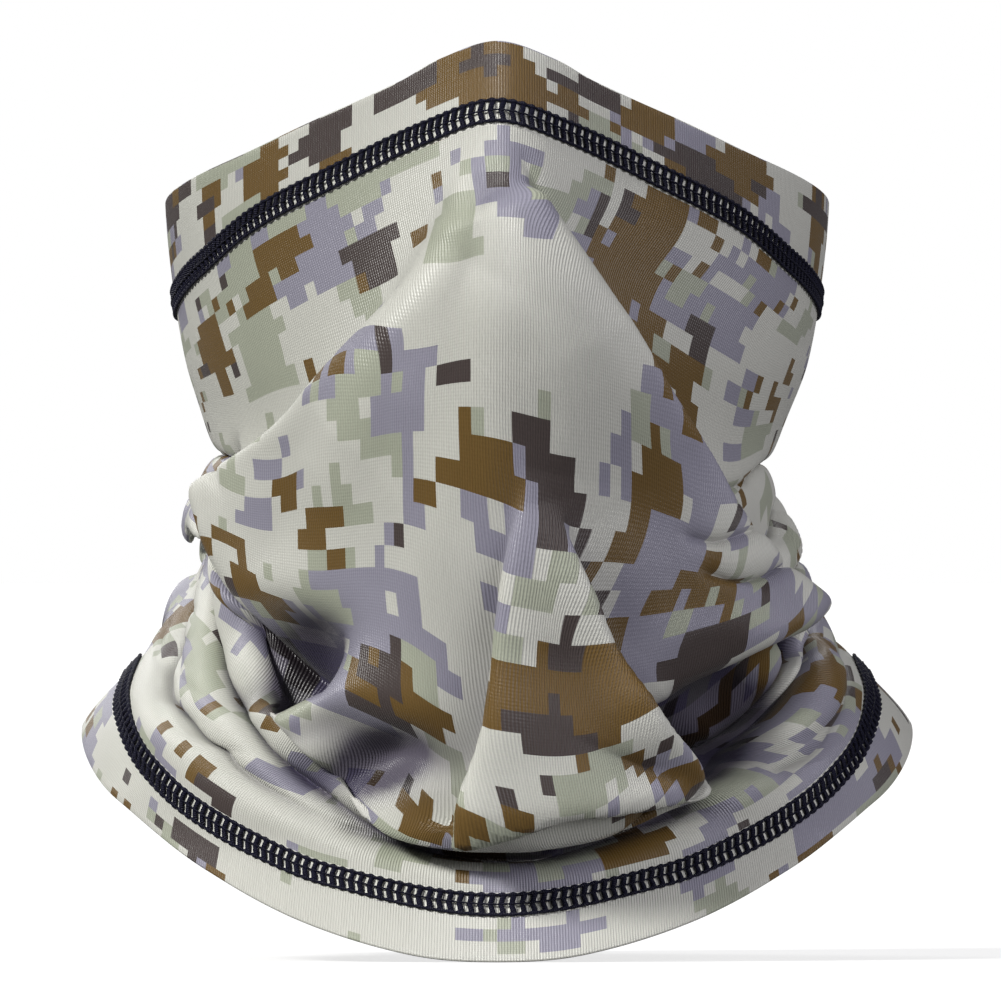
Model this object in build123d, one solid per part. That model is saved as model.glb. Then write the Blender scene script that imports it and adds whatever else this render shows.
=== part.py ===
from build123d import *
import math
import os

# Neck gaiter: a knitted tube worn over the nose, cheeks, jaw and neck.
# Frame: +Z up, the wearer faces -Y, the wearer's left is +X.
# Origin: on the tube's axis, level with the lowest point of the hem. Millimetres.

fabric_thickness = 1.0         # a folded band is two 0.5 mm plies pressed together
thread_thickness = 0.35
closing_seam_thickness = 0.8
seam_gauge = 5.6               # outer needle line to outer needle line
needle_line_width = 0.9
closing_seam_width = 6.0
closing_seam_clearance = 1.5   # bare length at each end of a closing seam
cut_end_gap = 0.4              # between the two cut ends of a strip, at the back
angle_steps = 40               # grid steps round the tube
row_height = 14.0              # largest grid step up the tube

# Cross-sections of the worn tube, by height:
# height, half width, nose depth, cheek depth, back depth, nose half width
sections = [
    (-8.0, 118.0, 107.0, 107.0, 94.0, 60.0),
    (13.0, 114.0, 98.0, 98.0, 88.0, 50.0),
    (28.0, 110.0, 92.0, 90.0, 85.0, 45.0),
    (42.0, 106.0, 101.0, 88.0, 84.0, 42.0),
    (58.0, 98.5, 107.0, 86.0, 83.0, 42.0),
    (75.0, 83.5, 109.0, 84.0, 80.0, 42.0),
    (92.0, 77.5, 111.0, 84.0, 78.0, 40.0),
    (108.0, 72.0, 112.0, 83.0, 76.0, 36.0),
    (123.0, 69.0, 113.0, 83.0, 77.0, 32.0),
    (143.0, 75.0, 114.0, 85.0, 83.0, 28.0),
    (160.0, 78.0, 114.0, 87.0, 86.0, 24.0),
    (180.0, 80.0, 110.0, 88.0, 87.0, 21.0),
    (203.0, 80.0, 103.0, 87.0, 86.0, 20.0),
    (226.0, 79.0, 97.0, 86.0, 84.0, 20.0),
]

# Edges and seams: height by degrees round the tube, from the front to the back.
rim = [(0, 219), (10, 214.8), (17, 209.5), (30, 202), (53, 191), (90, 181), (130, 176.5), (180, 175)]
face_seam = [(0, 202.6), (12, 197.5), (30, 186.5), (46, 177.5), (64, 166.5), (90, 157), (130, 155), (180, 155)]
hem_seam = [(0, 13), (21, 20), (32, 27.5), (44, 37.5), (53, 46), (68, 60), (90, 70), (125, 58), (180, 27)]
hem = [(0, 0), (10, 1.6), (24, 9.5), (39, 22), (58, 38), (90, 56), (125, 44), (180, 13)]


def smooth_value(knots, place):
    """A smooth curve through knots (place, value), level at both ends."""
    values = [value for _, value in knots]
    places = [at for at, _ in knots]
    last = len(knots) - 1
    slopes = [0.0] * (last + 1)
    for index in range(1, last):
        slopes[index] = (values[index + 1] - values[index - 1]) / (places[index + 1] - places[index - 1])
    index = 0
    while index < last - 1 and place > places[index + 1]:
        index += 1
    span = places[index + 1] - places[index]
    t = (place - places[index]) / span
    start, end = values[index], values[index + 1]
    rise_in, rise_out = slopes[index] * span, slopes[index + 1] * span
    cubic = 2 * start - 2 * end + rise_in + rise_out
    square = 3 * end - 3 * start - 2 * rise_in - rise_out
    return ((cubic * t + square) * t + rise_in) * t + start


def height_on(line, angle):
    """The height of an edge or seam at an angle from the front, the same on both sides."""
    degrees = abs(math.degrees(angle))
    return smooth_value(line, 360 - degrees if degrees > 180 else degrees)


def section_value(column, height):
    """One size of the cross-section at a height."""
    return smooth_value([(section[0], section[column]) for section in sections], height)


def skin_point(angle, height, offset=0.0):
    """A point of the fabric's outer face, moved outwards by offset."""
    half_width, nose, cheek, back, nose_width = [section_value(column, height) for column in range(1, 6)]

    def plan(turn):
        x = half_width * math.sin(turn)
        depth = cheek if math.cos(turn) > 0 else back
        front = (1 + math.cos(turn)) / 2
        return x, -depth * math.cos(turn) - (nose - cheek) * front * math.exp(-((x / nose_width) ** 2))

    step = 0.01
    x, y = plan(angle)
    ahead, behind = plan(angle + step), plan(angle - step)
    along_x, along_y = ahead[0] - behind[0], ahead[1] - behind[1]
    length = math.hypot(along_x, along_y)
    return Vector(x + offset * along_y / length, y - offset * along_x / length, height)


def rib(angle, low, high, rows, inner, outer, cut_x=None):
    """The closed outline of a strip cut through at one angle: outer face, top, inner face, bottom."""
    bottom, top = low(angle), high(angle)
    heights = [bottom + (top - bottom) * row / rows for row in range(rows + 1)]
    outside = [skin_point(angle, height, outer) for height in heights]
    inside = [skin_point(angle, height, inner) for height in reversed(heights)]
    if cut_x is not None:
        outside = [Vector(cut_x, point.Y, point.Z) for point in outside]
        inside = [Vector(cut_x, point.Y, point.Z) for point in inside]
    spread = [row / rows for row in range(rows + 1)]
    return Wire([
        Edge.make_spline(outside, parameters=spread),
        Edge.make_line(outside[-1], inside[0]),
        Edge.make_spline(inside, parameters=spread),
        Edge.make_line(inside[-1], outside[0]),
    ])


def strip(low, high, inner, outer, middle=0.0, half_turn=math.pi, cut_x=cut_end_gap / 2):
    """A strip of cloth or thread round the tube, between two offsets from the outer face."""
    steps = max(4, round(angle_steps * half_turn / math.pi))
    angles = [middle + half_turn * (2 * index / steps - 1) for index in range(steps + 1)]
    tallest = max(high(angle) - low(angle) for angle in angles)
    rows = max(2, math.ceil(tallest / row_height))
    ends = {0: cut_x * (-1 if middle == 0 else 1), steps: cut_x * (1 if middle == 0 else -1)}
    ribs = [
        rib(angle, low, high, rows, inner, outer, ends.get(index))
        for index, angle in enumerate(angles)
    ]
    return Solid.make_loft(ribs)


def save(name, shape):
    """One node of the assembly."""
    shape.label = name
    export_step(shape, f"parts/{name}.step")


def raised(line, rise):
    """The height function of a line, moved up by rise."""
    return lambda angle: height_on(line, angle) + rise


def coverstitch(name, line):
    """The five threads of one seam: three needles, one cover and one looper."""
    half = seam_gauge / 2
    low, high = raised(line, -half), raised(line, half)
    inner_face = -fabric_thickness
    save(f"{name}_cover_thread", strip(low, high, 0, thread_thickness))
    save(f"{name}_looper_thread", strip(low, high, inner_face - thread_thickness, inner_face))
    outer_row = half - needle_line_width / 2
    for row, rise in {"upper": outer_row, "middle": 0.0, "lower": -outer_row}.items():
        low = raised(line, rise - needle_line_width / 2)
        high = raised(line, rise + needle_line_width / 2)
        save(f"{name}_{row}_needle_thread", strip(low, high, thread_thickness, 2 * thread_thickness))


def closing_thread(name, low_line, low_gap, high_line, high_gap):
    """The overlocked ridge inside the back that closes a strip into a tube."""
    half = closing_seam_width / 2
    half_turn = half / section_value(1, height_on(high_line, math.pi))
    low, high = raised(low_line, low_gap), raised(high_line, -high_gap)
    inner_face = -fabric_thickness
    ridge = inner_face - closing_seam_thickness
    save(name, strip(low, high, ridge, inner_face, math.pi, half_turn, half))


def main():
    os.makedirs("parts", exist_ok=True)
    save("upper_band", strip(raised(face_seam, 0), raised(rim, 0), -fabric_thickness, 0))
    save("body_panel", strip(raised(hem_seam, 0), raised(face_seam, 0), -fabric_thickness, 0))
    save("lower_band", strip(raised(hem, 0), raised(hem_seam, 0), -fabric_thickness, 0))

    coverstitch("face_seam", face_seam)
    coverstitch("hem_seam", hem_seam)

    bare = closing_seam_clearance
    clear = seam_gauge / 2 + bare
    closing_thread("body_closing_thread", hem_seam, clear, face_seam, clear)
    closing_thread("upper_band_closing_thread", face_seam, clear, rim, bare)
    closing_thread("lower_band_closing_thread", hem, bare, hem_seam, clear)


main()
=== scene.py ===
import bpy
import math
import numpy as np
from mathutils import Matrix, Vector


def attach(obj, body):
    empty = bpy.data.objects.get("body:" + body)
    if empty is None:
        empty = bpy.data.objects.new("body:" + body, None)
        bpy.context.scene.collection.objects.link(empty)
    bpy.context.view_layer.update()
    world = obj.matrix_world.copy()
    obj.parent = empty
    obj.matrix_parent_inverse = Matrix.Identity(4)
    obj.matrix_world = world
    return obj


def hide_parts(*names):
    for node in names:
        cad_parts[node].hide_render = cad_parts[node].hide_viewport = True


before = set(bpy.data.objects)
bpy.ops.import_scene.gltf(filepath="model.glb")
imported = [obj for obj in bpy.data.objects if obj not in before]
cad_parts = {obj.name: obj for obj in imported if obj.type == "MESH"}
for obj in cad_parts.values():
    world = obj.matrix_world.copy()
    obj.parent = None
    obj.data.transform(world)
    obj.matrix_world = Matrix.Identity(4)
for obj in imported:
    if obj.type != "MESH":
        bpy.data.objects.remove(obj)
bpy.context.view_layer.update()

# ---------------------------------------------------------------- driving sizes, millimetres
MM = 0.001
COLUMNS = 480            # grid columns round the tube
UPPER_ROWS = 12          # grid rows of each zone, top to bottom
BODY_ROWS = 210
LOWER_ROWS = 14
ROUND_SCALE = 1.4        # mm round the tube for each degree, where fold lines are laid out
PLY = 0.5                # thickness of one ply of the knit
BAND_GAP = 0.25          # between the two plies of a folded band
SEAM_HOLD = 9.0          # how far from a seam its stitches still hold the cloth smooth
SEAM_WIDTH = 5.1         # outer needle line to outer needle line, as the threads draw it in
STITCH_PITCH = 2.5
CELL = 3.35              # side of one print block
WALE = 0.70              # pitch of the knit's ribs
COURSE = 0.52            # pitch of the knit's loops along a rib
KNIT_RELIEF = 0.00012    # metres, for the bump
PAINTED_SHADE_COLOUR = (0.13, 0.11, 0.19)  # painted shade: what the darkening in a deep fold leaves of the print's red, green and blue

# The worn tube's cross-sections, as in the CAD model:
# height, half width, nose depth, cheek depth, back depth, nose half width
SECTIONS = [
    (-8.0, 118.0, 107.0, 107.0, 94.0, 60.0),
    (13.0, 114.0, 98.0, 98.0, 88.0, 50.0),
    (28.0, 110.0, 92.0, 90.0, 85.0, 45.0),
    (42.0, 106.0, 101.0, 88.0, 84.0, 42.0),
    (58.0, 98.5, 107.0, 86.0, 83.0, 42.0),
    (75.0, 83.5, 109.0, 84.0, 80.0, 42.0),
    (92.0, 77.5, 111.0, 84.0, 78.0, 40.0),
    (108.0, 72.0, 112.0, 83.0, 76.0, 36.0),
    (123.0, 69.0, 113.0, 83.0, 77.0, 32.0),
    (143.0, 75.0, 114.0, 85.0, 83.0, 28.0),
    (160.0, 78.0, 114.0, 87.0, 86.0, 24.0),
    (180.0, 80.0, 110.0, 88.0, 87.0, 21.0),
    (203.0, 80.0, 103.0, 87.0, 86.0, 20.0),
    (226.0, 79.0, 97.0, 86.0, 84.0, 20.0),
]
# Edges and seams: height by degrees round the tube, from the front to the back.
RIM = [(0, 219), (10, 214.8), (17, 209.5), (30, 202), (53, 191), (90, 181), (130, 176.5), (180, 175)]
FACE_SEAM = [(0, 202.6), (12, 197.5), (30, 186.5), (46, 177.5), (64, 166.5), (90, 157), (130, 155),
             (180, 155)]
HEM_SEAM = [(0, 13), (21, 20), (32, 27.5), (44, 37.5), (53, 46), (68, 60), (90, 70), (125, 58), (180, 27)]
HEM = [(0, 0), (10, 1.6), (24, 9.5), (39, 22), (58, 38), (90, 56), (125, 44), (180, 13)]


# ---------------------------------------------------------------- the smooth worn tube
def smooth_value(knots, place):
    """A smooth curve through knots (place, value), level at both ends."""
    places = np.array([k[0] for k in knots], float)
    values = np.array([k[1] for k in knots], float)
    slopes = np.zeros(len(places))
    slopes[1:-1] = (values[2:] - values[:-2]) / (places[2:] - places[:-2])
    place = np.asarray(place, float)
    index = np.clip(np.searchsorted(places, place) - 1, 0, len(places) - 2)
    span = places[index + 1] - places[index]
    t = (place - places[index]) / span
    start, end = values[index], values[index + 1]
    rise_in, rise_out = slopes[index] * span, slopes[index + 1] * span
    cubic = 2 * start - 2 * end + rise_in + rise_out
    square = 3 * end - 3 * start - 2 * rise_in - rise_out
    return ((cubic * t + square) * t + rise_in) * t + start


def tube_point(degrees, height):
    """A point of the smooth tube's skin."""
    size = [smooth_value([(s[0], s[i]) for s in SECTIONS], height) for i in range(1, 6)]
    half_width, nose, cheek, back, nose_width = size
    turn = np.radians(degrees)
    x = half_width * np.sin(turn)
    depth = np.where(np.cos(turn) > 0, cheek, back)
    front = (1 + np.cos(turn)) / 2
    y = -depth * np.cos(turn) - (nose - cheek) * front * np.exp(-((x / nose_width) ** 2))
    return np.stack([x, y, height], -1)


def tube_skin(degrees, height, proud):
    """A point that stands proud of the smooth tube, along the tube's own normal."""
    step = 0.4
    across = tube_point(degrees + step, height) - tube_point(degrees - step, height)
    up = tube_point(degrees, height + step) - tube_point(degrees, height - step)
    normal = np.cross(across, up)
    normal /= np.linalg.norm(normal, axis=-1, keepdims=True)
    return tube_point(degrees, height) + normal * proud[..., None]


# ---------------------------------------------------------------- folds
# A fold runs along a line of (degrees, height) points on the smooth tube. It moves the cloth
# sideways across the line and out from the tube, so that deep folds overlap as cloth does.
def smooth_path(points):
    """A smooth line through (degrees, height) points, in millimetres on the rolled-out tube."""
    points = np.array(points, float) * [ROUND_SCALE, 1.0]
    fine = np.linspace(0, len(points) - 1, 10 * (len(points) - 1) + 1)
    return np.stack([smooth_spline(points[:, axis], fine) for axis in (0, 1)], -1)


def line_frame(path, here):
    """Distance along (0 to 1), signed distance across, left positive, and how far past the ends."""
    best = np.full(len(here), 1e9)
    along = np.zeros(len(here))
    across = np.zeros(len(here))
    lengths = np.linalg.norm(np.diff(path, axis=0), axis=1)
    travelled = np.concatenate([[0], np.cumsum(lengths)])
    for i in range(len(path) - 1):
        edge = (path[i + 1] - path[i]) / lengths[i]
        offset = here - path[i]
        t = np.clip(offset @ edge, 0, lengths[i])
        distance = np.linalg.norm(offset - t[:, None] * edge, axis=-1)
        side = edge[0] * offset[:, 1] - edge[1] * offset[:, 0]
        signed = distance * np.sign(side)
        if i == 0:
            signed = np.where(t <= 0, side, signed)
        if i == len(path) - 2:
            signed = np.where(t >= lengths[i], side, signed)
        near = distance < best
        best = np.where(near, distance, best)
        along = np.where(near, (travelled[i] + t) / travelled[-1], along)
        across = np.where(near, signed, across)
    first, last = path[1] - path[0], path[-1] - path[-2]
    past_start = np.maximum(0, -(here - path[0]) @ first / np.linalg.norm(first))
    past_end = np.maximum(0, (here - path[-1]) @ last / np.linalg.norm(last))
    return along, across, np.where(along <= 0, past_start, 0) + np.where(along >= 1, past_end, 0)


def smooth_spline(values, place):
    """Catmull-Rom through values at whole-number places, free at both ends."""
    slopes = np.gradient(values)
    index = np.clip(place.astype(int), 0, len(values) - 2)
    t = place - index
    a, b = values[index], values[index + 1]
    p, q = slopes[index], slopes[index + 1]
    return ((2 * a - 2 * b + p + q) * t + 3 * b - 3 * a - 2 * p - q) * t * t + p * t + a


def spread(value, along):
    """A size that is one number, or a list of numbers spread evenly along the line."""
    value = np.atleast_1d(np.array(value, float))
    if len(value) == 1:
        return np.full(along.shape, value[0])
    return np.interp(along, np.linspace(0, 1, len(value)), value)


class Cloth:
    """The grid of the cloth on the smooth tube: degrees round, height, and how far it stands out."""

    def __init__(self, degrees, height):
        self.degrees = degrees.copy()
        self.height = height.copy()
        self.proud = np.zeros(degrees.shape)
        self.loose = np.ones(degrees.shape)
        # painted shade of the hollows, which darkens the print there
        self.painted_hollow_shade = np.zeros(degrees.shape)

    def apply(self, points, width, rise, slide, profile, reach=4.5):
        """Moves the cloth by a fold profile, wherever the line runs on the closed tube."""
        path = smooth_path(points)
        heading = np.gradient(path, axis=0)
        heading /= np.linalg.norm(heading, axis=1, keepdims=True)
        margin = reach * np.max(width)
        low, high = path.min(0) - margin, path.max(0) + margin
        whole_turn = 360.0 * ROUND_SCALE
        flat = np.stack([self.degrees * ROUND_SCALE, self.height], -1).reshape(-1, 2)
        loose, proud = self.loose.reshape(-1), self.proud.reshape(-1)
        moved = flat.copy()
        for turn in (-whole_turn, 0.0, whole_turn):
            spot = flat + [turn, 0.0]
            chosen = np.flatnonzero(np.all((spot > low) & (spot < high), axis=1) & (loose > 0))
            if len(chosen) == 0:
                continue
            along, across, past = line_frame(path, spot[chosen])
            w = spread(width, along)
            fade = np.exp(-((past / (1.8 * w)) ** 2)) * loose[chosen]
            tangent = heading[np.clip((along * (len(path) - 1)).astype(int), 0, len(path) - 1)]
            normal = np.stack([-tangent[:, 1], tangent[:, 0]], -1)
            sideways, out = profile(across / w)
            moved[chosen] += normal * (sideways * w * spread(slide, along) * fade)[:, None]
            proud[chosen] += out * spread(rise, along) * fade
        moved = moved.reshape(self.degrees.shape + (2,))
        self.degrees, self.height = moved[..., 0] / ROUND_SCALE, moved[..., 1]
        self.proud = proud.reshape(self.degrees.shape)

    def ledge(self, points, width, rise, overlap, back=4.0):
        """The cloth left of the line stands out and laps over the cloth right of it."""
        self.apply(points, width, rise, overlap, lambda q: (
            -q * np.exp(-q * q / 2),
            0.5 * (1 + np.tanh(q * 1.2)) * np.exp(-(np.maximum(q, 0) / back) ** 2)
            + 0.14 * np.exp(-((q - 1.2) / 0.8) ** 2),
        ), reach=2.7 * back)

    def roll(self, points, width, rise, swell):
        """A round ridge along the line, or a crease where rise is negative."""
        self.apply(points, width, rise, swell, lambda q: (q * np.exp(-q * q / 2), np.exp(-q * q / 1.6)))

    def crease(self, points, width, depth, pinch):
        """A sharp valley along the line, with the cloth drawn into it."""
        self.apply(points, width, -np.atleast_1d(depth), -np.atleast_1d(pinch), lambda q: (
            q * np.exp(-q * q / 2), np.exp(-1.1 * np.abs(q) ** 1.5)))

    def bulge(self, degrees, height, half_wide, half_tall, rise):
        """A soft rounded swelling, or a hollow where rise is negative; a hollow also adds painted shade to
        the print.
        """
        for turn in (-360.0, 0.0, 360.0):
            across = (self.degrees + turn - degrees) * ROUND_SCALE / half_wide
            up = (self.height - height) / half_tall
            near = np.exp(-across * across - up * up) * self.loose
            self.proud += rise * near
            self.painted_hollow_shade += max(0.0, -rise) * near


def make_grid():
    """Degrees and height of every grid point, rim to hem, in rows laid between the zone edges."""
    degrees = np.linspace(-180, 180, COLUMNS, endpoint=False)
    lines = [smooth_value(line, np.abs(degrees)) for line in (RIM, FACE_SEAM, HEM_SEAM, HEM)]
    parts = []
    for top, bottom, rows in zip(lines, lines[1:], (UPPER_ROWS, BODY_ROWS, LOWER_ROWS)):
        t = np.linspace(0, 1, rows, endpoint=False)[:, None]
        parts.append(top * (1 - t) + bottom * t)
    parts.append(lines[-1][None])
    height = np.concatenate(parts)
    return np.broadcast_to(degrees, height.shape).copy(), height


def fold_cloth(cloth):
    """Every fold of the worn gaiter."""
    # the neck draws in under both jaws, and hollows lie beside the centre panel
    for side, middle, tuck in ((-85, 96, 5), (85, 99, 7)):
        cloth.proud -= tuck * cloth.loose * np.exp(-(((cloth.degrees - side) / 29) ** 2)
                                                   - ((cloth.height - middle) / 19) ** 2)
    # each of these hollows also adds painted shade to the print
    for degrees_in, height_in, wide, tall, depth in (
            (-38, 75, 13, 8, 17), (-36, 67, 11, 6, 14), (-18, 47, 12, 8, 17), (33, 56, 11, 11, 26),
            (43, 65, 10, 7, 14), (56, 76, 9, 4, 9), (-50, 80, 9, 6, 7), (-27, 57, 12, 5, 6),
            (20, 33, 13, 3, 5)):
        cloth.bulge(degrees_in, height_in, wide, tall, -depth)
    cloth.bulge(11, 52, 13, 13, 5)
    # the face panel hangs over the collar, from the wearer's right jaw round under the chin
    cloth.ledge([(-110, 104), (-80, 103), (-66, 98), (-55, 83), (-42, 68), (-29, 53), (-18, 38),
                 (-8, 31), (0, 29),
                 (11, 31), (20, 35), (28, 39), (34, 44)],
                [4, 4, 4, 3.5, 3.5, 4], [3, 5, 7, 4, 4, 9, 11, 10, 3],
                [1.6, 1.9, 2.0, 1.4, 1.2, 1.6, 1.7, 1.6, 1.0], back=5.0)
    # its lower edge on the other side, over the hollow and up to the jaw
    cloth.ledge([(27, 63), (32, 67), (40, 71), (52, 77), (63, 84), (76, 92), (100, 97)],
                [3, 3, 3.5, 4], [3, 9, 7, 1], [1.2, 2.2, 2.0, 0.8], back=4.0)
    # collar folds that run down from both jaws and meet under the chin
    cloth.crease([(-66, 118), (-70, 106), (-58, 92), (-47, 78), (-38, 71), (-30, 66)],
                 [3, 3, 3], [6, 9, 2], [0.8, 1.1, 0.3])
    cloth.crease([(-72, 94), (-59, 77), (-43, 62), (-29, 45), (-19, 34), (-9, 27)],
                 [2.6, 2.6, 2.4], [7, 8, 3], [1.0, 1.1, 0.5])
    cloth.crease([(-84, 88), (-69, 71), (-49, 57), (-36, 44), (-24, 33), (-13, 27)],
                 [3, 3, 3], [6, 6, 2], [0.9, 1.0, 0.4])
    cloth.roll([(-95, 84), (-76, 66), (-53, 51), (-38, 38), (-22, 27)],
               [3.5, 4, 4], [2, 2.5, 1], [0.6, 0.6, 0.2])
    cloth.crease([(84, 96), (79, 92), (60, 76), (43, 62), (30, 47), (20, 38), (9, 30)],
                 [2.4, 2.6, 3], [6, 10, 7], [0.9, 1.2, 0.9])
    cloth.crease([(96, 92), (86, 86), (67, 75), (45, 59), (32, 43), (20, 31), (8, 26)],
                 [2.4, 2.6, 3], [5, 8, 3], [0.9, 1.2, 0.5])
    cloth.crease([(104, 84), (84, 74), (60, 62), (44, 46), (32, 34)],
                 [3, 3.5, 3.5], [3, 3, 1], [0.6, 0.6, 0.3])
    cloth.roll([(86, 82), (62, 68), (45, 53), (33, 38)], [2.6, 3, 3], [2, 5, 3], [0.8, 1.1, 0.5])
    # the dark gap under the chin, and the swag of the collar in front of it
    cloth.crease([(-18, 29.5), (-7, 25.5), (2, 24.5), (10, 26.5), (20, 31), (27, 34.5)],
                 [2, 2.6, 3, 2.4], [3, 8, 10, 4], [0.6, 1.1, 1.2, 0.6])
    cloth.roll([(-30, 34), (-12, 21.5), (0, 19), (12, 21), (27, 29)], [3, 3, 3], [1, 4, 1], [0.2, 0.5, 0.2])
    # the knot of folds at the wearer's left jaw
    cloth.crease([(46, 112), (60, 114), (80, 119), (120, 119)], [2.4, 3, 4], [1, 5, 6], [0.4, 1.0, 0.9])
    cloth.crease([(34, 99), (42, 96), (52, 96), (66, 100), (78, 107), (98, 110)],
                 [2, 2.2, 2.2], [2, 6, 4], [0.6, 1.1, 0.8])
    cloth.crease([(37, 91), (46, 89), (58, 91), (72, 96), (92, 101)], [2, 2, 2], [2, 6, 4], [0.6, 1.1, 0.8])
    cloth.roll([(40, 94), (55, 94), (70, 98), (82, 105)], [2.2, 2.4, 2.2], [1, 4, 3], [0.8, 1.4, 1.0])
    # the curl at the wearer's right jaw
    cloth.crease([(-120, 119), (-90, 121), (-66, 119), (-58, 112)], [4, 4, 2.5], [6, 6, 2], [0.9, 1.0, 0.6])
    # the right edge of the drape that hangs from the nose, then its softer left edge
    cloth.ledge([(66, 80), (52, 91), (43, 104), (35, 122), (24, 139), (14, 159), (6, 181)],
                [3.5, 3.5, 3, 2.6, 2.2], [4, 11, 12, 10, 5], [1.0, 2.2, 2.2, 2.2, 1.4], back=8.0)
    cloth.ledge([(-9, 172), (-18, 155), (-34, 135), (-46, 124), (-57, 115), (-63, 110)],
                [5, 5, 5, 4, 3.5], [0, 4, 8, 9, 8], [0.1, 1.0, 1.6, 2.0, 2.1], back=6.0)
    # pulls on both sides of the nose bridge
    cloth.roll([(-4, 188), (-8, 172), (-15, 155), (-24, 138), (-32, 118)],
               [2.5, 3.5, 6], [1.2, 2.0, 1.5], [0.3, 0.4, 0.2])
    cloth.crease([(5, 190), (9, 176), (15, 163)], [2, 2.5, 3], [0.8, 1.6, 0.4], [0.4, 0.5, 0.2])
    # the centre panel between its two edges, and its lower edge at the chin
    cloth.ledge([(5, 118), (1, 95), (0, 76), (-1, 57), (-4, 40)],
                [4, 3, 2.6], [0, 6, 9], [0.2, 1.9, 2.1], back=6.0)
    cloth.ledge([(-6, 37), (0, 39), (8, 41.5), (18, 40), (24, 38.5), (27.5, 40.5), (26, 46),
                 (20, 55), (17, 65),
                 (15, 78), (13, 93), (11, 110)],
                [2.5, 2.5, 2.5, 2.6, 3, 4], [2, 5, 8, 9, 5, 0],
                [1.0, 1.6, 2.0, 1.5, 0.3, 1.5, 2.1, 2.0, 1.9, 1.0, 0.2], back=2.8)
    # fine pulls that fan out from the nose bridge, and small wrinkles in the gathered collar
    for _ in range(16):
        end = rng.uniform(-48, 46)
        foot = rng.uniform(62, 110)
        middle = (end * 0.5 + rng.uniform(-3, 3), (182 + foot) / 2 + rng.uniform(-5, 5))
        cloth.roll([(end * 0.15, rng.uniform(165, 185)), middle, (end, foot)],
                   [2, rng.uniform(3, 6), 5], [0.1, rng.uniform(0.3, 0.9), 0.1], [0.1])
    for _ in range(26):
        side = rng.choice([-1, 1])
        start, long = rng.uniform(28, 95), rng.uniform(14, 34)
        top = 18 + 0.86 * start + rng.uniform(-7, 9)
        path = [(side * (start + t * long), top + t * long * 0.62 - 3 * math.sin(3 * t))
                for t in (0, 0.35, 0.7, 1)]
        cloth.crease(path, [1.2, rng.uniform(1.3, 2.2), 1.2], [0.2, rng.uniform(0.8, 2.0), 0.2],
                     [0.2, 0.7, 0.2])
    for _ in range(14):
        middle, top = rng.uniform(95, 265), rng.uniform(55, 125)
        path = [(middle + d, top + rng.uniform(-2, 2)) for d in (-30, -10, 10, 30)]
        cloth.crease(path, [1.5, 2.5, 1.5], [0.3, rng.uniform(1.0, 2.2), 0.3], [0.2, 0.7, 0.2])
    # the closing seam pinches the back
    cloth.crease([(180, 152), (180, 110), (180, 70), (180, 30)], [1.2], [0.7], [0.4])
    # rolls round the nape
    for middle_height, rise in ((118, -5), (104, 6), (95, -4), (84, 6), (74, -3), (64, 4)):
        wobble = 3.0 * math.sin(middle_height)
        points = [(100, middle_height), (140, middle_height + wobble), (180, middle_height - wobble),
                  (220, middle_height + wobble), (260, middle_height)]
        cloth.roll(points, [4, 5, 4], [rise * 0.5, rise, rise * 0.5], [1.2 if rise > 0 else -0.8])


rng = np.random.default_rng(11)
degrees, height = make_grid()
cloth = Cloth(degrees, height)
face_seam_height = smooth_value(FACE_SEAM, np.abs(degrees))
hem_seam_height = smooth_value(HEM_SEAM, np.abs(degrees))
seam_gap = np.minimum(np.abs(height - face_seam_height), np.abs(height - hem_seam_height))
inside_body = (height < face_seam_height) & (height > hem_seam_height)
cloth.loose = np.where(inside_body, 1 - np.exp(-(seam_gap / SEAM_HOLD) ** 2), 0.0)
fold_cloth(cloth)
surface = tube_skin(cloth.degrees, cloth.height, cloth.proud)


# ---------------------------------------------------------------- the cloth's own coordinates
def painted_shading():
    """Painted shading: 1 deep in a fold or hollow, where the print is darkened as painted shade, 0 on smooth
    cloth, below 0 on a ridge, where it is lightened as a painted highlight.
    """
    near = smoothed(cloth.proud, 4, 3) - cloth.proud
    wide = smoothed(cloth.proud, 18, 14) - cloth.proud
    collar = np.clip((118 - cloth.height) / 25.0, 0, 1)
    return np.clip(near / 4.0 + collar * np.maximum(wide, 0) / 7.0 + cloth.painted_hollow_shade / 12.0, -0.4, 1.3)


def surface_normals(points):
    """Outward normals of a grid that closes round the tube."""
    across = np.roll(points, -1, axis=1) - np.roll(points, 1, axis=1)
    down = np.gradient(points, axis=0)
    normal = np.cross(down, across)
    return normal / np.maximum(np.linalg.norm(normal, axis=-1, keepdims=True), 1e-9)


def smoothed(field, row_spread, column_spread):
    """A grid averaged over a spread of rows and columns, so that small folds don't jolt the print."""
    rows = len(field)
    field = np.concatenate([field[::-1], field, field[::-1]])
    for axis, spread_of in ((0, row_spread), (1, column_spread)):
        wave = 2 * math.pi * spread_of * np.fft.fftfreq(field.shape[axis])
        keep = np.exp(-wave * wave / 2)
        keep = keep[:, None] if axis == 0 else keep
        field = np.fft.ifft(np.fft.fft(field, axis=axis) * keep, axis=axis).real
    return field[rows:2 * rows]


def cloth_round(points):
    """How far round the cloth each point is from the front, with the closing column added at the end."""
    steps = np.linalg.norm(np.roll(points, -1, axis=1) - points, axis=-1)
    steps = smoothed(steps, 8, 3)
    across = np.concatenate([np.zeros((len(points), 1)), np.cumsum(steps, axis=1)], axis=1)
    return across - across[:, COLUMNS // 2:COLUMNS // 2 + 1]


def cloth_down(points):
    """How far down the cloth each point is, the same all round at both seams."""
    steps = smoothed(np.linalg.norm(np.diff(points, axis=0), axis=-1), 2, 16)
    down = np.concatenate([np.zeros((1, points.shape[1])), np.cumsum(steps, axis=0)])
    share = np.linspace(0, 1, len(points))[:, None]
    share = share * share * (3 - 2 * share)
    return down + share * (down[-1].mean() - down[-1])


FRONT_FIRST = 0.02       # picks the front of the tube where front and back show at the same place


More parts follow.
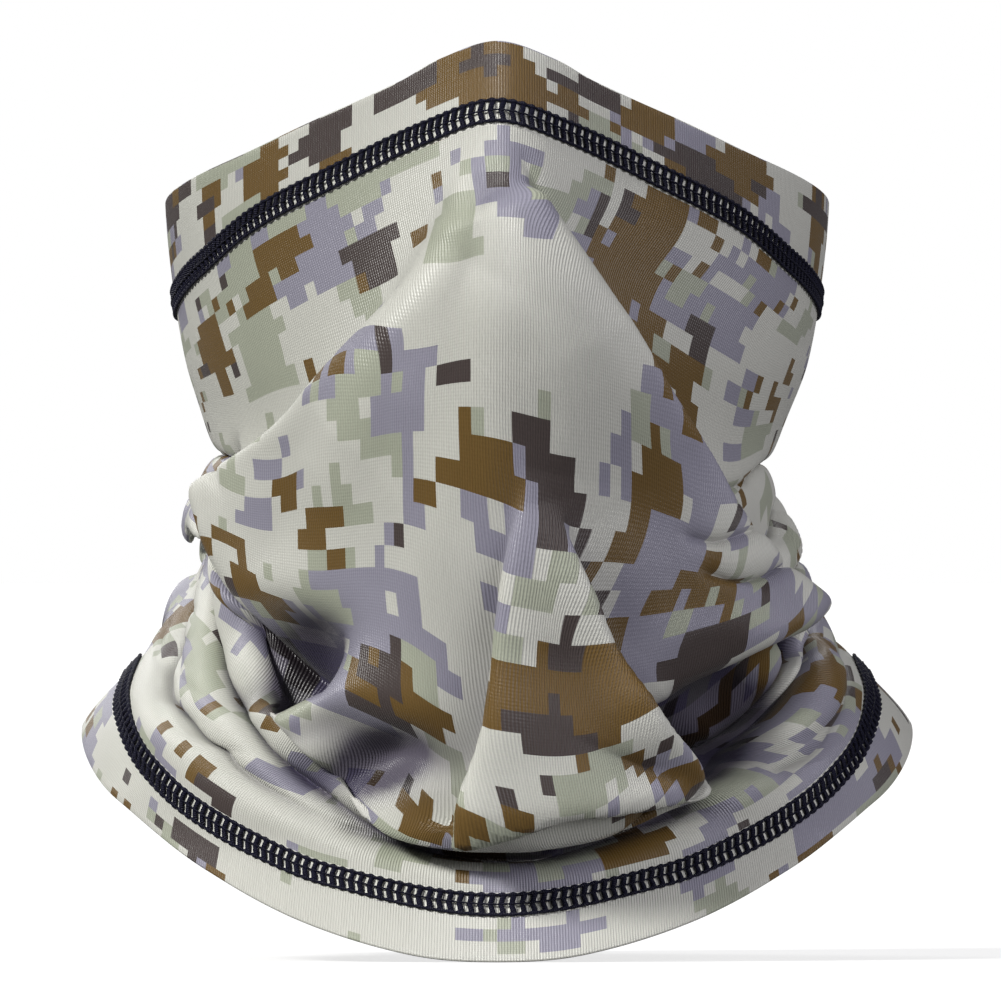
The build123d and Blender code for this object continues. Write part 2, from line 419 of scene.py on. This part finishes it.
def print_spots(points, across, down, patches):
    """Turns patches placed by where they show from the front (x, z) into print cells."""
    spots = []
    for ink, places in patches.items():
        for x, z, half_wide, half_tall, push in places:
            gap = np.hypot(points[..., 0] - x, points[..., 2] - z)
            near = np.unravel_index(np.argmin(gap + FRONT_FIRST * points[..., 1]), gap.shape)
            spots.append((ink, across[near] / CELL, -down[near] / CELL,
                          half_wide / CELL, half_tall / CELL, push))
    return spots


def grid_mesh(name, points, across, down, materials, painted_shading_amount, material_rows=(), ring=False):
    """A mesh from a grid that closes round the tube, with the cloth's own coordinates as its UV map."""
    rows, columns = points.shape[:2]
    index = np.arange(rows * columns).reshape(rows, columns)
    if ring:
        index[-1] = index[0]
        points, painted_shading_amount = points[:-1], painted_shading_amount[:-1]
    right = np.roll(index, -1, axis=1)
    quads = np.stack([index[:-1], index[1:], right[1:], right[:-1]], -1)
    down_right = np.roll(down, -1, axis=1)
    u = np.stack([across[:-1, :-1], across[1:, :-1], across[1:, 1:], across[:-1, 1:]], -1)
    v = np.stack([down[:-1], down[1:], down_right[1:], down_right[:-1]], -1)
    if ring:  # both walls are split along the same diagonal, so that neither comes through the other
        for corners in (quads, u, v):
            corners[rows // 2:] = np.roll(corners[rows // 2:], -1, axis=-1)
    mesh = bpy.data.meshes.new(name)
    mesh.from_pydata((points.reshape(-1, 3) * MM).tolist(), [], quads.reshape(-1, 4).tolist())
    uv = np.stack([u, -v], -1).reshape(-1) * MM
    mesh.uv_layers.new(name="cloth").data.foreach_set("uv", uv)
    # stores the painted shading (painted shade in folds and hollows, painted highlight on ridges) for the
    # print's material
    mesh.attributes.new("painted_shading", "FLOAT", "POINT").data.foreach_set("value", painted_shading_amount.reshape(-1))
    for material in materials:
        mesh.materials.append(material)
    slots = np.zeros((rows - 1, columns), int)
    for first, last, slot in material_rows:
        slots[first:last] = slot
    mesh.polygons.foreach_set("material_index", slots.reshape(-1))
    mesh.shade_smooth()
    return add_object(name, mesh)


def add_object(name, mesh):
    obj = bpy.data.objects.new(name, mesh)
    bpy.context.scene.collection.objects.link(obj)
    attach(obj, "root")
    return obj


# ---------------------------------------------------------------- materials
class Nodes:
    """Short names for making a material's nodes."""

    def __init__(self, name):
        self.material = bpy.data.materials.new(name)
        self.material.use_nodes = True
        self.tree = self.material.node_tree
        self.shader = self.tree.nodes["Principled BSDF"]

    def set(self, socket, value):
        if isinstance(value, bpy.types.NodeSocket):
            self.tree.links.new(value, socket)
        else:
            socket.default_value = value

    def math(self, operation, *values):
        node = self.tree.nodes.new("ShaderNodeMath")
        node.operation = operation
        for socket, value in zip(node.inputs, values):
            self.set(socket, value)
        return node.outputs[0]

    def split(self, vector):
        node = self.tree.nodes.new("ShaderNodeSeparateXYZ")
        self.set(node.inputs[0], vector)
        return node.outputs

    def join(self, x, y, z=0.0):
        node = self.tree.nodes.new("ShaderNodeCombineXYZ")
        for socket, value in zip(node.inputs, (x, y, z)):
            self.set(socket, value)
        return node.outputs[0]

    def cloth_uv(self, layer="cloth"):
        node = self.tree.nodes.new("ShaderNodeUVMap")
        node.uv_map = layer
        return self.split(node.outputs[0])

    def attribute(self, name):
        node = self.tree.nodes.new("ShaderNodeAttribute")
        node.attribute_name = name
        return node.outputs["Fac"]

    def noise(self, vector, scale, detail=2.0, roughness=0.55):
        node = self.tree.nodes.new("ShaderNodeTexNoise")
        self.set(node.inputs["Vector"], vector)
        self.set(node.inputs["Scale"], scale)
        self.set(node.inputs["Detail"], detail)
        self.set(node.inputs["Roughness"], roughness)
        return node.outputs[0]

    def mix(self, share, first, second):
        node = self.tree.nodes.new("ShaderNodeMix")
        node.data_type = "RGBA"
        self.set(node.inputs[0], share)
        self.set(node.inputs[6], first)
        self.set(node.inputs[7], second)
        return node.outputs[2]

    def vector(self, operation, *values):
        node = self.tree.nodes.new("ShaderNodeVectorMath")
        node.operation = operation
        for socket, value in zip(node.inputs, values):
            self.set(socket, value)
        return node.outputs["Value" if operation == "DOT_PRODUCT" else "Vector"]

    def scaled(self, colour, amount):
        node = self.tree.nodes.new("ShaderNodeVectorMath")
        node.operation = "SCALE"
        self.set(node.inputs[0], colour[:3] if isinstance(colour, tuple) else colour)
        self.set(node.inputs["Scale"], amount)
        return node.outputs[0]

    def bump(self, height, distance, strength=1.0):
        node = self.tree.nodes.new("ShaderNodeBump")
        self.set(node.inputs["Strength"], strength)
        self.set(node.inputs["Distance"], distance)
        self.set(node.inputs["Height"], height)
        self.tree.links.new(node.outputs[0], self.shader.inputs["Normal"])

    def finish(self, **values):
        for name, value in values.items():
            self.set(self.shader.inputs[name.replace("_", " ")], value)
        return self.material


def colour(red, green, blue):
    """A display colour, 0 to 255, as the shader's linear one."""
    shares = [c / 255 for c in (red, green, blue)]
    return tuple(((c + 0.055) / 1.055) ** 2.4 if c > 0.04045 else c / 12.92 for c in shares) + (1.0,)


STONE = colour(203, 203, 195)
SAGE = colour(167, 171, 154)
LAVENDER = colour(147, 145, 160)
BROWN = colour(108, 84, 43)
TAUPE = colour(74, 65, 63)
BARE = colour(222, 222, 214)
NAVY = colour(14, 14, 38)


def knit_look(n, u, v):
    """Fine ribs and loops of the knit: a height for the bump, and a colour factor with a fine random tone
    that darkens the grooves between ribs and loops as painted shade.
    """
    ribs = n.math("SINE", n.math("MULTIPLY", u, 2 * math.pi / (WALE * MM)))
    loops = n.math("SINE", n.math("MULTIPLY", v, 2 * math.pi / (COURSE * MM)))
    fuzz = n.noise(n.join(u, v), 2600.0, 1.0)
    height = n.math("ADD", n.math("MULTIPLY", ribs, 0.6), n.math("MULTIPLY", loops, 0.12))
    height = n.math("ADD", height, n.math("MULTIPLY", fuzz, 0.5))
    # painted shade: the colour follows the height, darker in the knit's grooves
    shade = n.math("ADD", n.math("MULTIPLY", height, 0.13), 0.90)
    return height, shade


def printed_knit(name, shift_u, shift_v, spots, seams):
    """The knit with its block camouflage print.

    spots are (ink, cell u, cell v, half wide, half tall, push), and seams are the places down the
    cloth, in millimetres, where it is left bare.
    """
    n = Nodes(name)
    u, v, _ = n.cloth_uv()
    cell_u = n.math("FLOOR", n.math("DIVIDE", u, CELL * MM))
    cell_v = n.math("FLOOR", n.math("DIVIDE", v, CELL * MM))
    cell = n.join(cell_u, cell_v)

    def add_spots(amount, ink):
        for spot, at_u, at_v, wide, tall, push in spots:
            if spot == ink:
                place = n.vector("MULTIPLY_ADD", cell, (1 / wide, 1 / tall, 0),
                                 (-at_u / wide, -at_v / tall, 0))
                near = n.math("EXPONENT", n.math("MULTIPLY", n.vector("DOT_PRODUCT", place, place), -1.0))
                amount = n.math("MULTIPLY_ADD", near, push, amount)
        return amount

    bare = add_spots(0.0, "stone")
    paint = STONE
    layers = (
        ("lavender", LAVENDER, 11.7, 0.11, 0.535),
        ("sage", SAGE, 3.1, 0.14, 0.565),
        ("brown", BROWN, 23.3, 0.16, 0.60),
        ("taupe", TAUPE, 37.9, 0.17, 0.625),
    )
    for ink, ink_colour, seed, scale, level in layers:
        place = n.join(
            n.math("MULTIPLY", n.math("ADD", cell_u, shift_u), 0.72 * scale),
            n.math("MULTIPLY", n.math("ADD", cell_v, shift_v), 1.6 * scale),
            seed,
        )
        amount = n.math("SUBTRACT", add_spots(n.noise(place, 1.0, 3.0, 0.75), ink), bare)
        paint = n.mix(n.math("GREATER_THAN", amount, level), paint, ink_colour)
    for middle in seams:
        beside = n.math("ABSOLUTE", n.math("SUBTRACT", v, middle * MM))
        paint = n.mix(n.math("LESS_THAN", beside, (SEAM_WIDTH / 2 + 0.7) * MM), paint, BARE)
    height, shade = knit_look(n, u, v)
    wash = n.noise(n.join(u, v), 60.0, 2.0)
    shade = n.math("MULTIPLY", shade, n.math("ADD", n.math("MULTIPLY", wash, 0.10), 0.95))
    # painted shading: the print is darkened towards a dark purple in folds and hollows as painted shade, and
    # lightened on ridges as a painted highlight
    painted_shading_amount = n.attribute("painted_shading")
    paint = n.mix(n.math("MULTIPLY", painted_shading_amount, 0.72), paint, n.vector("MULTIPLY", paint, PAINTED_SHADE_COLOUR))
    shade = n.math("MULTIPLY", shade, n.math("MULTIPLY_ADD", n.math("MINIMUM", painted_shading_amount, 0.0), -0.25, 1.0))
    n.bump(height, KNIT_RELIEF, 0.8)
    return n.finish(Base_Color=n.scaled(paint, shade), Roughness=0.36, Sheen_Weight=0.08,
                    Sheen_Roughness=0.4, Specular_IOR_Level=0.38)


def plain_knit(name):
    """The unprinted inner face."""
    n = Nodes(name)
    u, v, _ = n.cloth_uv()
    height, shade = knit_look(n, u, v)
    n.bump(height, KNIT_RELIEF, 0.8)
    return n.finish(Base_Color=n.scaled(colour(222, 221, 214), shade), Roughness=0.6, Sheen_Weight=0.2)


def thread_material(name, base):
    """A twisted sewing thread: slanting plies round the tube."""
    n = Nodes(name)
    along, around, _ = n.cloth_uv("thread")
    turns = n.math("ADD", n.math("DIVIDE", along, 0.0009), around)
    ply = n.math("SINE", n.math("MULTIPLY", turns, 2 * math.pi * 2))
    # painted shade: the colour is darker in the grooves between the plies
    shade = n.math("ADD", n.math("MULTIPLY", ply, 0.3), 0.9)
    n.bump(ply, 0.0001, 0.9)
    return n.finish(Base_Color=n.scaled(base, shade), Roughness=0.55, Specular_IOR_Level=0.25)


navy_thread = thread_material("navy_thread", NAVY)
stone_thread = thread_material("closing_thread", colour(205, 204, 192))
inside_knit = plain_knit("inside_knit")

# ---------------------------------------------------------------- the three pieces of cloth
normals = surface_normals(surface)
first_body, last_body = UPPER_ROWS, UPPER_ROWS + BODY_ROWS

# Larger patches of the print, for each ink: x and z where they show from the front, half width,
# half height, and how strongly they add that ink.
BODY_PATCHES = {
    "brown": [(30, 170, 14, 16, 0.19), (44, 136, 6, 11, 0.22), (-67, 140, 7, 9, 0.2),
        (-52, 168, 8, 5, 0.2), (-44, 139, 5, 8, 0.2), (-45, 97, 8, 4, 0.25), (-50, 82, 9, 4, 0.2),
        (-5, 112, 8, 3, 0.25), (35, 110, 13, 3.5, 0.25), (49, 88, 12, 3.5, 0.25), (20, 58, 20, 8, 0.3),
        (-30, 64, 8, 5, 0.2), (31, 26, 9, 6, 0.22), (84, 64, 5, 12, 0.25), (-27, 62, 15, 4, 0.3),
        (-76, 82, 5, 8, 0.25), (-14, 31, 9, 4, 0.25)],
    "taupe": [(-50, 72, 9, 5, 0.3), (-32, 69, 9, 3, 0.25), (47, 67, 11, 6, 0.3), (-31, 165, 8, 6, 0.2),
        (46, 148, 7, 7, 0.2), (10, 107, 5, 9, 0.25), (-16, 136, 10, 4, 0.2), (16, 81, 8, 8, 0.2),
        (18, 51, 20, 4, 0.3), (-24, 54, 12, 5, 0.2), (-71, 28, 6, 8, 0.2)],
    "lavender": [(1, 180, 12, 8, 0.2), (-28, 96, 12, 14, 0.09), (36, 86, 18, 16, 0.08),
        (66, 162, 12, 10, 0.2), (-80, 90, 10, 10, 0.2)],
    "sage": [(-14, 172, 9, 8, 0.2), (-59, 154, 13, 11, 0.25), (-24, 28, 14, 6, 0.2)],
    "stone": [(-48, 158, 22, 22, 0.05), (55, 140, 20, 20, 0.04), (-2, 150, 13, 12, 0.2),
        (-47, 122, 14, 10, 0.07), (24, 141, 10, 14, 0.2), (-9, 80, 8, 14, 0.15), (66, 30, 20, 12, 0.06),
        (-45, 35, 25, 14, 0.06)],
}
UPPER_PATCHES = {
    "brown": [(0, 196, 220, 60, 0.03), (-70, 180, 6, 6, 0.35), (-3, 211, 15, 6, 0.26),
        (37, 199, 10, 5, 0.2), (-56, 185, 9, 5, 0.30), (58, 185, 14, 5, 0.2), (77, 178, 5, 10, 0.2),
        (-38, 190, 5, 3.5, 0.35)],
    "taupe": [(0, 196, 220, 60, 0.05), (48, 188, 6, 5, 0.25), (-66, 190, 6, 3, 0.35),
        (-44, 195, 7, 5, 0.42), (22, 207, 11, 4, 0.25), (-25, 205, 9, 3.5, 0.4)],
    "lavender": [(0, 196, 220, 60, -0.04)],
    "stone": [(-34, 200, 5, 5, 0.2)],
}
LOWER_PATCHES = {
    "stone": [(0, 8, 90, 30, 0.07)],
    "lavender": [(-2, 5, 16, 5, 0.2), (74, 38, 10, 8, 0.15)],
    "taupe": [(12, 6, 5, 4, 0.2), (-73, 26, 6, 6, 0.25), (67, 33, 6, 4, 0.25)],
    "brown": [(60, 28, 6, 4, 0.15)],
    "sage": [(-48, 20, 9, 5, 0.2)],
}

outer = surface[first_body:last_body + 1]
inner = outer - normals[first_body:last_body + 1] * PLY
down = cloth_down(outer)
across = cloth_round(outer)
body_knit = printed_knit("printed_knit", 0, 0, print_spots(outer, across, down, BODY_PATCHES),
                         (0.0, -down[-1].mean()))
both = np.concatenate([outer, inner[::-1], outer[:1]])
both_down = np.concatenate([down, down[::-1], down[:1]])
both_across = np.concatenate([across, across[::-1], across[:1]])
# painted shading of folds, hollows and ridges; the inner face gets none
painted_shading_amount = painted_shading()
outer_painted_shading = painted_shading_amount[first_body:last_body + 1]
both_painted_shading = np.concatenate([outer_painted_shading, 0 * outer_painted_shading, outer_painted_shading[:1]])
body = grid_mesh("printed_panel", both, both_across, both_down, [body_knit, inside_knit], both_painted_shading,
                 [(len(outer), 2 * len(outer), 1)], ring=True)
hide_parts("body_panel")


def folded_band(name, rows, edge_first, shift, patches, node):
    """A strip of cloth folded double, with its fold at the open edge of the tube."""
    outer = surface[rows] if edge_first else surface[rows][::-1]
    normal = normals[rows] if edge_first else normals[rows][::-1]
    thick = PLY + BAND_GAP
    away = outer[0] - outer[1]
    away /= np.linalg.norm(away, axis=-1, keepdims=True)
    bend = [outer[0] - normal[0] * thick / 2 + thick / 2 * (away * math.cos(t) - normal[0] * math.sin(t))
            for t in np.radians((-50, 0, 50))]
    points = np.concatenate([outer[::-1], np.array(bend), outer - normal * thick])
    steps = np.linalg.norm(np.diff(points, axis=0), axis=-1).mean(1)
    down = np.concatenate([[0], np.cumsum(steps)])[:, None] * np.ones((1, COLUMNS))
    if edge_first:
        down = -down
    across = cloth_round(outer).mean(0) * np.ones((len(points), 1))
    seen = slice(0, len(outer))
    spots = print_spots(points[seen], across[seen], down[seen], patches)
    knit = printed_knit(f"{name}_knit", *shift, spots, (-down[0, 0],))
    band = grid_mesh(name, points, across, down, [knit], np.zeros(points.shape[:2]))
    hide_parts(node)
    return band


folded_band("face_band", slice(0, first_body + 1), True, (61, 23), UPPER_PATCHES, "upper_band")
folded_band("hem_band", slice(last_body, None), False, (17, 71), LOWER_PATCHES, "lower_band")


# ---------------------------------------------------------------- stitches
def tubes(name, lines, wide, tall, material, sides=8):
    """Many thread tubes as one mesh. lines is (count, points, 3), with up and side vectors alike."""
    centre, side, up = lines
    count, length = centre.shape[:2]
    turn = np.arange(sides) * 2 * math.pi / sides
    ring = (side[:, :, None] * (np.cos(turn)[:, None] * wide[..., None, None])
            + up[:, :, None] * (np.sin(turn)[:, None] * tall[..., None, None]))
    points = centre[:, :, None] + ring
    index = np.arange(count * length * sides).reshape(count, length, sides)
    around = np.roll(index, -1, axis=2)
    quads = np.stack([index[:, :-1], around[:, :-1], around[:, 1:], index[:, 1:]], -1).reshape(-1, 4)
    mesh = bpy.data.meshes.new(name)
    caps = [list(reversed(cap)) for cap in index[:, 0].tolist()] + index[:, -1].tolist()
    mesh.from_pydata((points.reshape(-1, 3) * MM).tolist(), [], quads.tolist() + caps)
    steps = np.linalg.norm(np.diff(centre, axis=1), axis=-1)
    along = np.concatenate([np.zeros((count, 1)), np.cumsum(steps, axis=1)], axis=1) * MM
    part = np.arange(sides) / sides
    here = np.broadcast_to(along[:, :-1, None], (count, length - 1, sides))
    ahead = np.broadcast_to(along[:, 1:, None], (count, length - 1, sides))
    low = np.broadcast_to(part, here.shape)
    high = low + 1 / sides
    uv = np.stack([here, low, here, high, ahead, high, ahead, low], -1).reshape(-1)
    uv = np.concatenate([uv, np.zeros(2 * 2 * sides * count)])
    mesh.uv_layers.new(name="thread").data.foreach_set("uv", uv)
    mesh.materials.append(material)
    mesh.shade_smooth()
    return add_object(name, mesh)


class SeamLine:
    """A seam as a path with its own directions: along, out of the cloth, and to each side."""

    def __init__(self, path, out, above, below, closed=True):
        if closed:
            path, out, above, below = [np.concatenate([a, a[:1]]) for a in (path, out, above, below)]
        self.travelled = np.concatenate([[0], np.cumsum(np.linalg.norm(np.diff(path, axis=0), axis=1))])
        self.data = np.concatenate([path, out, above, below], axis=1)
        self.length = self.travelled[-1]
        self.closed = closed

    def at(self, distance, across, lift):
        """Points at a distance along, a distance across (above is positive) and a lift off the cloth."""
        if self.closed:
            distance = distance % self.length
        flat = np.stack([np.interp(distance, self.travelled, column) for column in self.data.T], -1)
        path, out, above, below = np.split(flat, 4, axis=-1)
        side = np.where(across[..., None] > 0, above, -below)
        return path + side * across[..., None] + out * lift[..., None], out


def frame_lines(centre, out):
    """Side and up vectors for tubes that run along centre."""
    along = np.gradient(centre, axis=1)
    along /= np.linalg.norm(along, axis=-1, keepdims=True)
    side = np.cross(along, out)
    side /= np.linalg.norm(side, axis=-1, keepdims=True)
    return centre, side, np.cross(side, along)


def stitch_rungs(name, seam, pitch, half, lean, lift, wide, tall, material, points=11):
    """The threads that cross a seam from edge to edge, one for each stitch, bent at the middle line."""
    count = round(seam.length / pitch)
    pitch = seam.length / count
    across = np.broadcast_to(np.linspace(-1.12, 1.12, points) * half, (count, points))
    share = across / half
    start = (np.arange(count) * pitch)[:, None]
    bent = lean * pitch * (np.abs(share) - 0.5)
    high = lift * (1.1 - share ** 4) - 0.2 * lift * np.exp(-((share / 0.2) ** 2))
    centre, out = seam.at(start + bent, across, high)
    taper = 0.9 + 0.22 * share ** 2 - 0.4 * np.abs(share) ** 8
    return tubes(name, frame_lines(centre, out), wide * taper, tall * taper, material)


def stitch_line(name, seam, pitch, across, lift, radius, swell, material):
    """One needle thread along a seam, dipping between stitches."""
    count = round(seam.length / pitch)
    per_stitch = 6
    steps = np.arange(count * per_stitch + 1)
    distance = steps * seam.length / steps[-1]
    wave = np.cos(2 * math.pi * steps / per_stitch)
    centre, out = seam.at(distance[None], (across + 0 * wave)[None], (lift + 0.12 * wave)[None])
    size = (radius * (1 + swell * wave))[None]
    return tubes(name, frame_lines(centre, out), size, size * 0.8, material, 7)


def side_direction(row, step):
    """Unit vectors across a seam row, towards the rows above or below it."""
    away = surface[row + step] - surface[row]
    return away / np.linalg.norm(away, axis=-1, keepdims=True)


# Threads that cross a seam: lean, lift off the cloth, half width, half height.
COVER_SHAPE = (0.3, 0.5, 0.72, 0.5)
LOOPER_SHAPE = (-0.6, 0.3, 0.45, 0.3)
CLOSING_SHAPE = (0.5, 0.4, 0.35, 0.3)
CLOSING_PITCH, CLOSING_HALF = 2.2, 2.6


def coverstitch(prefix, row, node, above_step, below_step):
    """The five threads of one seam."""
    above, below = side_direction(row, above_step), side_direction(row, below_step)
    outer = SeamLine(surface[row], normals[row], above, below)
    inner = SeamLine(surface[row] - normals[row] * (PLY + 0.1), -normals[row], above, below)
    half = SEAM_WIDTH / 2
    cover = stitch_rungs(f"{prefix}_cover_stitches", outer, STITCH_PITCH, half, *COVER_SHAPE, navy_thread)
    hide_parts(f"{node}_cover_thread")
    looper = stitch_rungs(f"{prefix}_looper_stitches", inner, STITCH_PITCH, half, *LOOPER_SHAPE, navy_thread)
    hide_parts(f"{node}_looper_thread")
    rows = (("upper", half, 0.46, 0.3), ("middle", 0.0, 0.24, 0.2), ("lower", -half, 0.46, 0.3))
    for label, across, radius, swell in rows:
        line = stitch_line(f"{prefix}_{label}_needle_line", outer, STITCH_PITCH, across,
                           0.45 if across else 0.85, radius, swell, navy_thread)
        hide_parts(f"{node}_{label}_needle_thread")


coverstitch("face_seam", first_body, "face_seam", -2, 3)
coverstitch("hem_seam", last_body, "hem_seam", -3, 3)


def closing_seam(name, node, rows, thickness):
    """The overlocked seam up the inside of the back."""
    column = 0
    path = surface[rows, column] - normals[rows, column] * (thickness + 0.3)
    out = -normals[rows, column]
    side = surface[rows, 3] - surface[rows, column]
    side /= np.linalg.norm(side, axis=-1, keepdims=True)
    seam = SeamLine(path, out, side, -side, closed=False)
    piece = stitch_rungs(name, seam, CLOSING_PITCH, CLOSING_HALF, *CLOSING_SHAPE, stone_thread)
    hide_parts(node)


closing_seam("back_closing_stitches", "body_closing_thread", slice(first_body + 5, last_body - 5), PLY)
closing_seam("face_band_closing_stitches", "upper_band_closing_thread", slice(1, first_body - 3), 2 * PLY)
closing_seam("hem_band_closing_stitches", "lower_band_closing_thread",
             slice(last_body + 4, len(surface) - 1), 2 * PLY)

# ---------------------------------------------------------------- floor, light and camera
FLOOR_RADIUS = 40.0
FLOOR_LEVEL = -0.0005
FLOOR_GLOW = 0.72            # brings the floor to the backdrop's white, for the camera only
bpy.ops.mesh.primitive_circle_add(
    vertices=96, radius=FLOOR_RADIUS, fill_type="NGON", location=(0, 0, FLOOR_LEVEL))
floor = bpy.context.object
floor.name = "floor"
floor_look = Nodes("floor_white")
seen = floor_look.tree.nodes.new("ShaderNodeLightPath").outputs["Is Camera Ray"]
floor.data.materials.append(floor_look.finish(
    Base_Color=floor_look.mix(seen, (0.12, 0.12, 0.12, 1), (0.35, 0.35, 0.35, 1)), Roughness=0.9,
    Specular_IOR_Level=0.0, Emission_Color=(1, 1, 1, 1),
    Emission_Strength=floor_look.math("MULTIPLY", seen, FLOOR_GLOW)))

CAMERA_DISTANCE = 9.0
VIEW_WIDTH = 0.2402          # across the picture, at the middle of the gaiter's front half
VIEW_DEPTH = 0.045
VIEW_HEIGHT = 0.1096
camera = bpy.data.objects.new("camera", bpy.data.cameras.new("camera"))
bpy.context.scene.collection.objects.link(camera)
camera.data.lens = camera.data.sensor_width * (CAMERA_DISTANCE - VIEW_DEPTH) / VIEW_WIDTH
camera.data.clip_end = 200
camera.location = (0.0008, -CAMERA_DISTANCE, VIEW_HEIGHT)
camera.rotation_euler = (math.pi / 2, 0, 0)
bpy.context.scene.camera = camera


def sun(name, towards, strength, angle, tint):
    lamp = bpy.data.lights.new(name, "SUN")
    lamp.energy = strength
    lamp.angle = math.radians(angle)
    lamp.color = tint
    obj = bpy.data.objects.new(name, lamp)
    obj.rotation_euler = Vector(towards).to_track_quat("-Z", "Y").to_euler()
    bpy.context.scene.collection.objects.link(obj)


sun("key", (0.85, 0.66, -0.74), 3.5, 12, (1.0, 0.995, 0.965))
sun("front", (-0.85, 0.60, -0.45), 1.6, 40, (0.97, 0.96, 1.0))
sun("back", (0.35, -0.85, -0.6), 1.3, 50, (1.0, 1.0, 1.0))
world = bpy.data.worlds.new("world")
bpy.context.scene.world = world
world.use_nodes = True
sky = world.node_tree
light_path = sky.nodes.new("ShaderNodeLightPath")
backdrop = sky.nodes.new("ShaderNodeBackground")
backdrop.inputs["Color"].default_value = (1, 1, 1, 1)
ambient = sky.nodes["Background"]
ambient.inputs["Color"].default_value = (0.94, 0.92, 1.0, 1)
ambient.inputs["Strength"].default_value = 0.11
choose = sky.nodes.new("ShaderNodeMixShader")
sky.links.new(light_path.outputs["Is Camera Ray"], choose.inputs[0])
sky.links.new(ambient.outputs[0], choose.inputs[1])
sky.links.new(backdrop.outputs[0], choose.inputs[2])
sky.links.new(choose.outputs[0], sky.nodes["World Output"].inputs["Surface"])
bpy.context.scene.view_settings.view_transform = "Standard"
